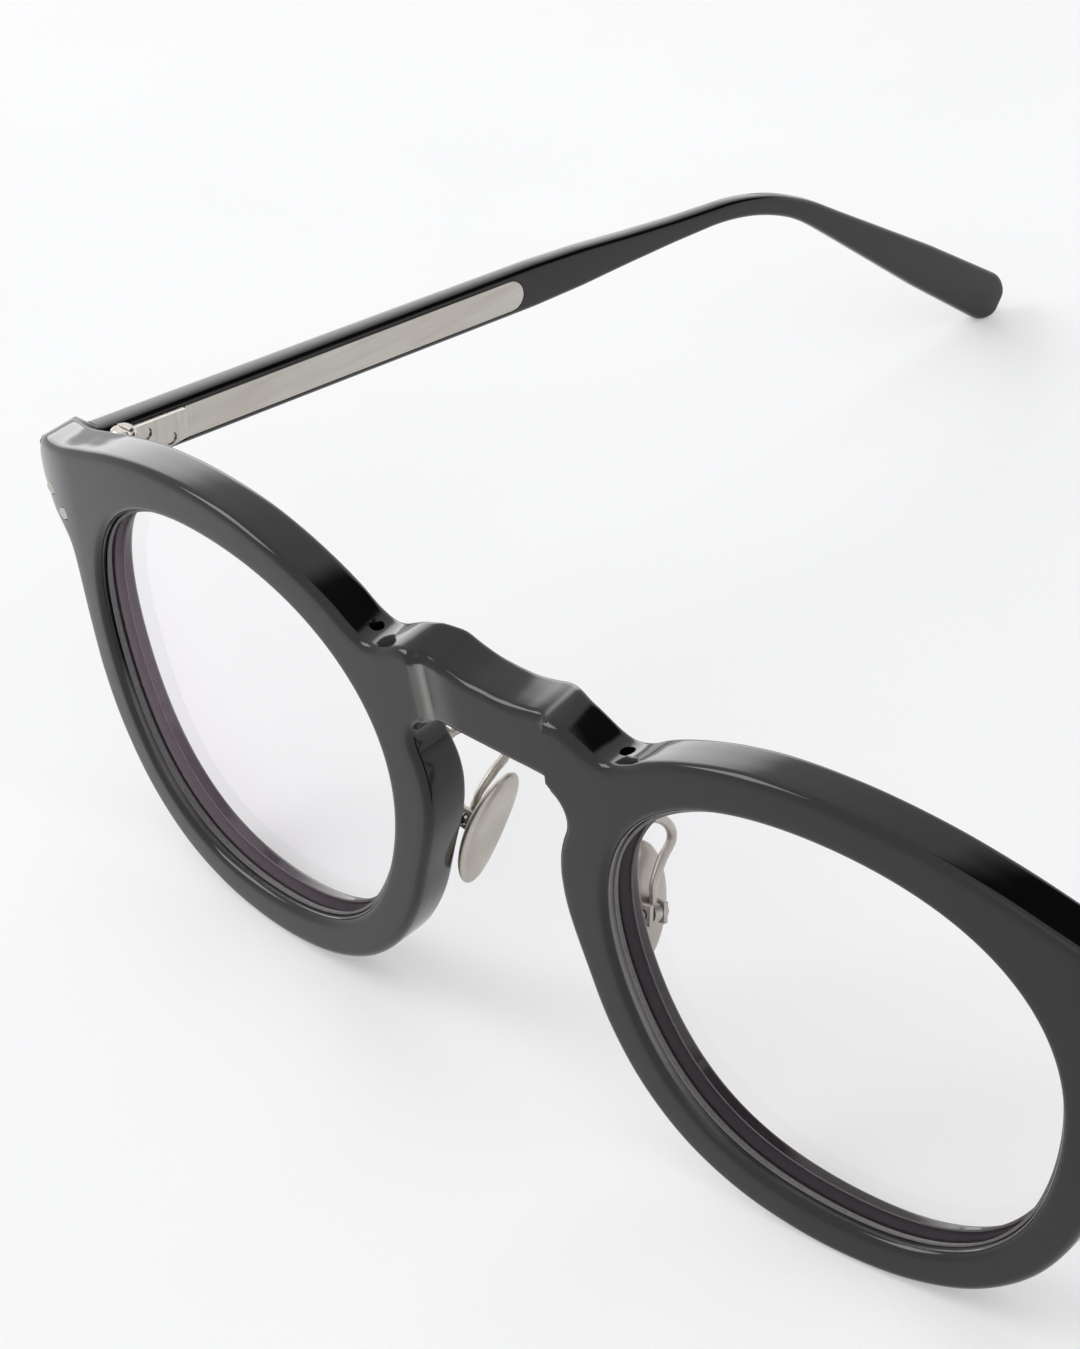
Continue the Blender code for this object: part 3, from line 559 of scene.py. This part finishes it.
def wall_profile(is_opening):
    """(inset, depth, measured from the back) from the front face to the back one."""
    lead = [(inset, depth, False) for inset, depth in rounding(EDGE_R)]
    if is_opening:
        middle = [(0, GROOVE_AT - GROOVE_D, False), (GROOVE_D, GROOVE_AT, False),
                  (0, GROOVE_AT + GROOVE_D, False)]
    else:
        middle = [(0, 1.8, False), (0, 2.8, False)]
    back = rounding(BACK_R if is_opening else EDGE_R)[::-1]
    return lead + middle + [(inset, depth, True) for inset, depth in back]


def front_walls(loops):
    """The walls round the outer edge and both openings, and the loops that bound each flat side."""
    points, faces, rims = [], [], ([], [])
    for which, loop in enumerate(loops):
        normal, count = inwards(loop) * (-1 if which else 1), len(loop)
        profile, start = wall_profile(which > 0), len(points)
        for inset, depth, from_back in profile:
            ring = loop + normal * inset
            x, z = ring[:, 0], ring[:, 1]
            y = back_y(x, z) - depth if from_back else front_y(x, z) + depth
            z = z - crown_fall(x, z, np.clip((y - front_y(x, z)) / FRONT_T, 0, 1))
            points += list(zip(x, y, z))
        for i in range(len(profile) - 1):
            for j in range(count):
                a, b = start + i * count + j, start + i * count + (j + 1) % count
                faces.append((a, b, b + count, a + count))
        last = start + (len(profile) - 1) * count
        rims[0].append(list(range(start, start + count)))
        rims[1].append(list(range(last, last + count)))
    return points, faces, rims


def side_clouds():
    """Points to spread over the flat sides, with their least distance from an edge.

    A staggered grid covers the rims, and a finer one the bridge, with close columns at the steps
    of its recess.
    """
    grid = np.stack(np.meshgrid(np.arange(-68, 68.1, GRID), np.arange(-27, 26, GRID)), -1)
    grid = grid.reshape(-1, 2)
    even_row = (np.round(grid[:, 1] / GRID).astype(int) % 2) == 0
    grid[:, 0] += np.where(even_row, GRID / 2, 0)
    grid = grid[(np.abs(grid[:, 0]) > 9.9) | (grid[:, 1] < 9.3)]
    columns = np.concatenate([np.arange(0, 6.3, 0.6), np.arange(6.3, 8.3, 0.1),
                              [8.5, 8.8, 9.2, 9.6]])
    clear_of_step = columns[np.abs(columns - LEFT_STEP_X) > 0.02]
    columns = np.concatenate([-columns[:0:-1], clear_of_step,
                              [LEFT_STEP_X - 0.01, LEFT_STEP_X + 0.002]])
    fine = np.stack(np.meshgrid(columns, np.arange(9.6, 22, FINE_GRID)), -1).reshape(-1, 2)
    return (grid, GRID_CLEAR), (fine, FINE_CLEAR)


def fill_side(points, loops, surface, clouds):
    """Faces over one flat side, between its loops; the points inside it are added to the list."""
    rims = [np.array([(points[i][0], points[i][2]) for i in loop]) for loop in loops]
    spread = []
    for cloud, least in clouds:
        keep = inside(cloud, rims[0])
        for rim in rims[1:]:
            keep &= ~inside(cloud, rim)
        cloud = cloud[keep]
        for rim in rims:
            cloud = cloud[away(cloud, rim, least)]
        spread.append(cloud)
    spread = np.concatenate(spread)
    index = [i for loop in loops for i in loop]
    index += list(range(len(points), len(points) + len(spread)))
    y = surface(spread[:, 0], spread[:, 1])
    points += [(a, b, c) for (a, c), b in zip(spread, y)]
    edges, first = [], 0
    for loop in loops:
        edges += [(first + j, first + (j + 1) % len(loop)) for j in range(len(loop))]
        first += len(loop)
    flat = [Vector((points[i][0], points[i][2])) for i in index]
    _, _, triangles, came_from, *_ = delaunay_2d_cdt(flat, edges, [], 1, 1e-7)
    ids = [[index[came_from[v][0]] for v in face] for face in triangles]
    centres = np.array([np.mean([(points[i][0], points[i][2]) for i in face], axis=0)
                        for face in ids])
    in_opening = inside(centres, rims[1]) | inside(centres, rims[2])
    return [face for face, out in zip(ids, in_opening) if not out]


def front_blocks(side):
    """The hinge's seat and the cheek beside it, behind one endpiece."""
    up = frame_of((0, 0, 0), (0, 0, 1), (1, 0, 0))
    for outline, low, high in ((SEAT_BLOCK, END_LOW + 0.6, END_TOP - 2.2),
                               (CHEEK_BLOCK, END_LOW + 0.8, END_TOP - 1.6)):
        block = prism("block", [(side * x, y) for x, y in outline], low, high, up)
        bevel(block, 0.3, 4, 60)
        yield bake(block)


def front_cuts(side):
    """The dimple in one notch and the two blind holes for its rivets."""
    rings = [[(side * DIMPLE_X + r * a, FRONT_T * DIMPLE_SHARE + r * b, NOTCH_Z + z)
              for a, b in disc(1, 32)] for r, z in DIMPLE_RINGS]
    yield rings_to_mesh("dimple", rings)
    for x, z in FRONT_RIVETS:
        blind = frame_of((side * x, float(wrap(x)) - 1, z), (0, 1, 0), (1, 0, 0))
        yield prism("blind", disc(RIVET_R + RIVET_GAP, 32), 0, 1 + RIVET_HOLE_D, blind)


def painted_sheen_share(spots):
    """How much painted highlight lifts the acetate to grey at each point, from 0 to 1.

    The painted highlight stands in for reflected light along the recess's wall on the wearer's right
    and on parts of the openings' walls, more on some sides of them than on others; the same share
    also makes the acetate rougher there.
    """
    x, y, z = spots.T
    into = recess_share(x, z)
    # Painted highlight on the recess's wall, standing in for the window's reflection.
    painted_sheen = np.exp(-((into - 0.35) / 0.42) ** 2) + 0.28 * np.exp(-((into - 1.6) / 1.5) ** 2)
    in_recess = (y < 1.6) & (z > 12.2) & (z < CROWN_UP - 1.9) & (x < -3) & (x > -8.2)
    across = np.abs(x) - LENS_APART / 2
    turn = np.degrees(np.arctan2(z, across)) % 360
    edge = np.array([math.hypot(a - LENS_APART / 2, b)
                     for a, b in (opening(math.radians(angle)) for angle in range(361))])
    depth = y - wrap(x)
    on_wall = np.abs(np.hypot(across, z) - edge[turn.astype(int)]) < 0.12
    on_wall &= (depth > EDGE_R - 0.25) & (depth < 1.7)
    # Painted highlight on the openings' walls, stronger on the sides that face the bright reflections.
    painted_wall_sheen = np.interp(turn, (0, 130, 155, 205, 240, 290, 315, 335, 350),
                           (0, 0, 0.8, 0.8, 0.15, 0.1, 0.45, 0.45, 0))
    return np.where(in_recess, painted_sheen, 0.0) + np.where(on_wall, painted_wall_sheen, 0.0)


def front_shell(name):
    half = front_outline(OUTLINE_STEP)
    outer = np.concatenate([half, half[-2:0:-1] * [-1, 1]])
    hole = np.array([opening(2 * math.pi * j / OPENING_STEPS) for j in range(OPENING_STEPS)])
    points, faces, rims = front_walls([outer, hole, (hole * [-1, 1])[::-1]])
    clouds = side_clouds()
    for loops, surface in zip(rims, (front_y, back_y)):
        faces += fill_side(points, loops, surface, clouds)
    shell = mesh_object(name, points, faces)
    combine(shell, [block for side in (-1, 1) for block in front_blocks(side)], "UNION")
    combine(shell, [cut for side in (-1, 1) for cut in front_cuts(side)], "DIFFERENCE")
    # The painted highlight's share, kept per point for the acetate's look.
    painted_sheen = shell.data.attributes.new("painted_sheen", "FLOAT", "POINT")
    painted_sheen.data.foreach_set("value", painted_sheen_share(np.array([v.co[:] for v in shell.data.vertices])))
    return shell


def lens(side, name):
    """A lens with a ridge all round that sits in the groove."""
    count, mid = LENS_STEPS, LENS_APART / 2
    shares = [0.02, 0.06, 0.12, 0.2, 0.3, 0.42, 0.54, 0.66, 0.77, 0.86, 0.93, 0.975, 1.0]

    def at(j, grow, share, depth):
        """A point at that share of the way from the middle to the edge, behind its middle line."""
        x, z = opening(2 * math.pi * j / count, grow)
        reach = OPEN_R ** 2 + ((x - mid) ** 2 + z * z - OPEN_R ** 2) * share ** 2
        bulge = reach * (1 - share ** 2) / (2 * LENS_CURVE)
        x, z = mid + (x - mid) * share, z * share
        return Vector((side * x, WRAP * x * x / 2 + GROOVE_AT - bulge + depth, z))

    profile = [(-LENS_GAP, share, -LENS_T / 2) for share in shares]
    profile += [(-LENS_GAP, 1, -GROOVE_D * 0.8), (GROOVE_D - 1.6 * LENS_GAP, 1, 0),
                (-LENS_GAP, 1, GROOVE_D * 0.8)]
    profile += [(-LENS_GAP, share, LENS_T / 2) for share in shares[::-1]]
    made = rings_to_mesh(name, [[at(j, *place) for j in range(count)] for place in profile])
    ridge = []
    for vertex in made.data.vertices:
        x, z = side * vertex.co.x - mid, vertex.co.z
        far = math.hypot(x, z)
        rim_x, rim_z = opening(math.atan2(z, x), -LENS_GAP)
        behind = vertex.co.y - WRAP * vertex.co.x ** 2 / 2 - GROOVE_AT
        mark = RIDGE_FRONT if behind < -0.2 else RIDGE_TIP if behind < 0.2 else RIDGE_BACK
        ridge.append(mark if far > math.hypot(rim_x - mid, rim_z) - 0.02 else 0.0)
    made.data.attributes.new("ridge", "FLOAT", "POINT").data.foreach_set("value", ridge)
    return made


def temple_line(s):
    """Height of the temple's middle above the hinge's middle, a distance s behind the pin."""
    return -0.05 - math.tan(SLOPE) * s


def temple_path(step):
    """(s, z, slope, height, thickness) along the temple, from its front end to its tip."""
    start, knee = BUTT_Y + 0.3 - PIN_Y, STRAIGHT
    bend = BEND_R * (DROP - SLOPE)
    total = knee - start + bend + TIP_L
    tail = np.array([3, 2.6, 2.2, 1.8, 1.4, 1.05, 0.75, 0.5, 0.28, 0.12, 0.03, 0])
    height_at = ((start, 56, 63, 70, 77, 83, 90, 97, 105, 115, 125, total + start),
                 (TEMPLE_H, TEMPLE_H, 4.5, 3.5, 2.7, WAIST_H, WAIST_H, WAIST_H + 0.1, 3.1, 4.2,
                  5.3, TIP_H))
    thickness_at = ((start, 40, 84, 100, total + start), (TEMPLE_T, 2.6, WAIST_T, WAIST_T, TIP_T))
    out, knee_z = [], temple_line(knee)
    for r in np.concatenate([np.arange(0, total - TIP_ROUND, step), total - tail]):
        s = start + r
        if s <= knee:
            place = (s, temple_line(s), SLOPE)
        else:
            turn = min((s - knee) / BEND_R, DROP - SLOPE) + SLOPE
            x = knee + BEND_R * (math.sin(turn) - math.sin(SLOPE))
            z = knee_z - BEND_R * (math.cos(SLOPE) - math.cos(turn))
            rest = max(s - knee - bend, 0)
            place = (x + rest * math.cos(turn), z - rest * math.sin(turn), turn)
        high, thick = np.interp(s, *height_at), np.interp(s, *thickness_at)
        left = total - r
        if left < TIP_ROUND:
            share = math.sqrt(max(1 - (1 - left / TIP_ROUND) ** 2, 0))
            high *= 0.35 + 0.65 * share
            thick *= 0.45 + 0.55 * min(1, share * 1.3)
        out.append((*place, high, thick))
    return out


def swing(side):
    """The temple's toe-in, a small turn about its hinge pin."""
    pin = Vector((side * PIN_X, PIN_Y, PIN_Z))
    turn = Matrix.Rotation(side * TOE_IN, 4, "Z")
    return Matrix.Translation(pin) @ turn @ Matrix.Translation(-pin)


def plate_outline(side, grow):
    """The metal plate let into the temple's inner face: square in front, round at its far end."""
    s0, s1, half = PLATE_START - grow, PLATE_END - PLATE_H / 2, PLATE_H / 2 + grow
    flat = [(s0, -half)] + [(s1 + half * math.sin(a), -half * math.cos(a))
                            for a in (math.pi * k / 24 for k in range(25))] + [(s0, half)]
    return [(PIN_Y + s, side * (PIN_Z + temple_line(s) + z)) for s, z in flat]


def temple(side, name):
    """The acetate temple, with a slot for its plate and a pocket for its hinge leaf."""
    rings = []
    for s, z, slope, high, thick in temple_path(TEMPLE_STEP):
        lean = slope if s > 12 else SLOPE * max(s, 0) / 12
        corner = min(0.7, high * 0.3, thick * 0.3)
        rings.append([(side * (PIN_X + TEMPLE_IN + across), PIN_Y + s + up * math.sin(lean),
                       PIN_Z + z + up * math.cos(lean))
                      for across, up in box_outline(0, thick, -high / 2, high / 2, corner, 6)])
    made = rings_to_mesh(name, rings)
    pocket = [(PIN_Y + s, side * (PIN_Z + temple_line(s) + z))
              for s, z in box_outline(-3, POCKET_END, -POCKET_HALF, POCKET_HALF)]
    across = frame_of((side * (PIN_X + TEMPLE_IN - 1), 0, 0), (side, 0, 0), (0, 1, 0))
    cuts = [prism("pocket", pocket, 0, 1 + POCKET_D, across),
            prism("slot", plate_outline(side, PLATE_GAP), 0, 1 + PLATE_T + 0.05, across)]
    combine(made, cuts, "DIFFERENCE")
    made.data.transform(swing(side))
    return made


def pad_frame(side):
    """Origin in the middle of the pad; third axis out of its face, first axis up its length."""
    up = Vector((-side * math.sin(PAD_FLARE), math.sin(PAD_PITCH), 0))
    up.z = math.sqrt(1 - up.length_squared)
    out = Vector((-side * math.cos(PAD_SPLAY), math.sin(PAD_SPLAY), 0))
    out -= up * out.dot(up)
    return frame_of((side * PAD_AT.x, PAD_AT.y, PAD_AT.z), out, up)


def pivot_frame(side):
    """The pad screw's axis, across the pad's width behind it."""
    here = pad_frame(side)
    return frame_of(here @ Vector((0, 0, -PIVOT_BACK)), here.to_3x3() @ Vector((0, 1, 0)),
                    here.to_3x3() @ Vector((1, 0, 0)))


def nose_pad(side, name):
    """A thin oval pad with a rounded edge, a little smaller than the CAD's so that it can rock."""
    here = pad_frame(side)
    knots = [(0.02, 0.5), (0.3, 0.5), (0.6, 0.5), (0.8, 0.46), (0.93, 0.34), (1.0, 0.05),
             (0.97, -0.25), (0.85, -0.44), (0.6, -0.5), (0.3, -0.5), (0.02, -0.5)]
    rings = []
    for share, depth in curve_through(knots, 0.045):
        ring = [(x * PAD_L * 0.488 * share, y * PAD_W * 0.468 * share) for x, y in disc(1, 72)]
        rings.append([here @ Vector((x, y * (1 + 0.16 * x / PAD_L),
                                     depth * PAD_T + 0.012 * x * x - 0.3)) for x, y in ring])
    return rings_to_mesh(name, rings)


def pad_lug(side, name):
    """The two cheeks behind the pad that hold its screw."""
    here = pad_frame(side)
    cheeks = [prism(name, box_outline(-1.0, 1.0, y0, y0 + 0.5), -PIVOT_BACK - 0.8, -0.6, here)
              for y0 in (-1.1, 0.6)]
    lug = combine(cheeks[0], cheeks[1:], "UNION")
    hole = prism("hole", disc(PAD_SCREW_R + PAD_SCREW_GAP, 24), -3, 3, pivot_frame(side))
    combine(lug, [hole], "DIFFERENCE")
    bevel(lug, 0.12, 3)
    return bake(lug)


def tube(points, radii, count=20):
    """A round wire through the points, with a radius at each."""
    p = [Vector(q) for q in points]
    side, rings = Vector((0, 0, 1)), []
    for i, q in enumerate(p):
        along = (p[min(i + 1, len(p) - 1)] - p[max(i - 1, 0)]).normalized()
        side = (side - along * side.dot(along)).normalized()
        other = along.cross(side)
        rings.append([q + (side * x + other * y) * radii[i] for x, y in disc(1, count)])
    return rings_to_mesh("wire", rings)


def pad_arm(side, name):
    """A foot on the back of the rim, a wire loop, and an eye between the pad's cheeks."""
    pivot = pivot_frame(side)
    back = wrap(FOOT_X) + FRONT_T
    foot = frame_of((side * FOOT_X, back + 0.12, FOOT_Z), (0, 1, 0), (1, 0, 0))
    arm = prism(name, box_outline(-1.2, 1.2, -1.9, 1.9, 0.7, 8), 0, FOOT_T, foot)
    lift = pivot.to_3x3() @ Vector((1.0, 0, 0))
    loop = ((FOOT_X, 0.5, 6.8), (10.7, 2.8, 7.0), (10.3, 5.3, 5.5), (10.0, 6.9, 3.4),
            (9.9, 7.1, 1.7), (10.1, 5.6, 0.7))
    guide = [(side * x, back + y, z) for x, y, z in loop]
    guide += [tuple(pivot.translation + lift * far) for far in (2.6, 1.4, 0.5)]
    path = curve_through(guide, 0.3)
    radii = np.interp(np.arange(len(path)), (0, len(path) - 14, len(path) - 7),
                      (WIRE_R, WIRE_R, WIRE_END_R))
    eye = prism("eye", disc(EYE_R, 36), -EYE_T / 2, EYE_T / 2, pivot)
    combine(arm, [tube(path, radii), eye], "UNION")
    hole = prism("hole", disc(PAD_SCREW_R + PAD_SCREW_GAP, 24), -1, 1, pivot)
    return combine(arm, [hole], "DIFFERENCE")


# ---------------------------------------------------------------- the object

finish_piece(front_shell("front_acetate"), "front", "acetate", ["front_frame"], 42)
for side, hand in SIDES:
    finish_piece(lens(side, "lens_clear_" + hand), "front", "lens", ["lens_" + hand], 50)
    finish_piece(temple(side, "temple_acetate_" + hand), "temple_%s_arm" % hand, "acetate",
                 ["temple_" + hand], 40)
    finish_piece(nose_pad(side, "pad_titanium_" + hand), "pad_" + hand, "titanium",
                 ["nose_pad_" + hand], 60)
    finish_piece(pad_lug(side, "pad_lug_" + hand), "pad_" + hand, "titanium", (), 35)
    finish_piece(pad_arm(side, "pad_wire_" + hand), "front", "titanium", ["pad_arm_" + hand], 40)

# The hinges, screws, rivets and plates keep their CAD shape, with slightly broken edges.
slots = {row["node"]: row["material_slot"] for row in frame["record"]["subparts"]}
for name, node in frame["nodes"].items():
    if node.hide_render:
        continue
    node.data.materials.clear()
    node.data.materials.append(LOOKS[slots[name]])
    bevel(node, 0.06 * MM, 2, 40)
    for polygon in node.data.polygons:
        polygon.use_smooth = True
    crisp = node.modifiers.new("crisp", "EDGE_SPLIT")
    crisp.split_angle = math.radians(40)

# ---------------------------------------------------------------- floor, light and camera

FLOOR_HALF, FLOOR_GAP = 6, 0.00005
floor_mesh = bpy.data.meshes.new("floor")
corners = [(x, y, 0) for x, y in box_outline(-FLOOR_HALF, FLOOR_HALF, -FLOOR_HALF, FLOOR_HALF)]
floor_mesh.from_pydata(corners, [], [(0, 1, 2, 3)])
floor = bpy.data.objects.new("floor", floor_mesh)
bpy.context.scene.collection.objects.link(floor)
floor.location.z = CAD_BOX[0][2] - FLOOR_GAP
floor_mesh.materials.append(paper())


def softbox(name, towards, distance, width, height, power, colour=(1, 1, 1)):
    """An area light in the given direction, turned to the glasses."""
    data = bpy.data.lights.new(name, "AREA")
    data.shape, data.size, data.size_y = "RECTANGLE", width, height
    data.energy, data.color = power, colour
    obj = bpy.data.objects.new(name, data)
    bpy.context.scene.collection.objects.link(obj)
    away_by = Vector(towards).normalized()
    obj.location = away_by * distance
    obj.rotation_euler = away_by.to_track_quat("Z", "Y").to_euler()
    return obj


softbox("window", (-0.62, -0.5, 0.6), 1.7, 0.85, 0.65, 7.5, (1.0, 0.99, 0.98))
softbox("fill", (0.6, -0.75, 0.75), 1.8, 1.2, 1.2, 1.5, (0.97, 0.985, 1.0))


ROOM_BRIGHT, ROOM_DARK = (1.0, 1.0, 1.0, 1), (0.03, 0.03, 0.03, 1)
GLOW_TOWARDS = (-0.86, 0.5, 0.1)


def studio_world():
    """A bright room, dark overhead behind on the wearer's left, with a glow low on the right."""
    world = bpy.data.worlds.new("studio")
    bpy.context.scene.world = world
    world.use_nodes = True
    tree = world.node_tree
    direction = tree.nodes.new("ShaderNodeTexCoord").outputs["Generated"]
    split = tree.nodes.new("ShaderNodeSeparateXYZ")
    tree.links.new(direction, split.inputs[0])

    def ramp(source, *stops):
        """Soft steps from one value to another: stops are (from, its value, to, its value)."""
        made = tree.nodes.new("ShaderNodeMapRange")
        made.interpolation_type = "SMOOTHSTEP"
        for socket, value in zip(("From Min", "To Min", "From Max", "To Max"), stops):
            made.inputs[socket].default_value = value
        tree.links.new(source, made.inputs["Value"])
        return made.outputs["Result"]

    shade = ramp(split.outputs["X"], -0.16, 0.0, 0.0, 1.0)
    for other in (ramp(split.outputs["Z"], 0.2, 0.0, 0.45, 1.0),
                  ramp(split.outputs["Y"], 0.05, 0.0, 0.3, 1.0)):
        both = tree.nodes.new("ShaderNodeMath")
        both.operation = "MULTIPLY"
        tree.links.new(shade, both.inputs[0])
        tree.links.new(other, both.inputs[1])
        shade = both.outputs[0]
    tone = tree.nodes.new("ShaderNodeMix")
    tone.data_type = "RGBA"
    tone.inputs[6].default_value = ROOM_BRIGHT
    tone.inputs[7].default_value = ROOM_DARK
    tree.links.new(shade, tone.inputs[0])
    aim = tree.nodes.new("ShaderNodeVectorMath")
    aim.operation = "DOT_PRODUCT"
    aim.inputs[1].default_value = Vector(GLOW_TOWARDS).normalized()
    tree.links.new(direction, aim.inputs[0])
    glow = ramp(aim.outputs["Value"], 0.86, 0.0, 0.97, 2.2)
    lit = tree.nodes.new("ShaderNodeMix")
    lit.data_type, lit.blend_type = "RGBA", "ADD"
    lit.clamp_factor, lit.clamp_result = False, False
    tree.links.new(glow, lit.inputs[0])
    tree.links.new(tone.outputs[2], lit.inputs[6])
    lit.inputs[7].default_value = (1.0, 1.0, 1.0, 1.0)
    tree.links.new(lit.outputs[2], tree.nodes["Background"].inputs["Color"])
    tree.nodes["Background"].inputs["Strength"].default_value = 1.0


studio_world()

CAMERA_AT = Vector((177.9, -160.4, 199.2))
CAMERA_RIGHT = Vector((0.728, 0.681, -0.082))
CAMERA_BACK = Vector((0.584, -0.552, 0.596))
camera_data = bpy.data.cameras.new("camera")
camera_data.lens, camera_data.sensor_width, camera_data.sensor_fit = 95.94, 36.0, "AUTO"
camera_data.clip_start, camera_data.clip_end = 0.01, 50
camera = bpy.data.objects.new("camera", camera_data)
bpy.context.scene.collection.objects.link(camera)
part_turn = (TO_WORLD @ Matrix.Scale(1 / MM, 4)).to_3x3().to_4x4()
camera.matrix_world = part_turn @ frame_of((0, 0, 0), CAMERA_BACK, CAMERA_RIGHT)
camera.location = TO_WORLD @ CAMERA_AT
bpy.context.scene.camera = camera
bpy.context.scene.view_settings.view_transform = "Standard"
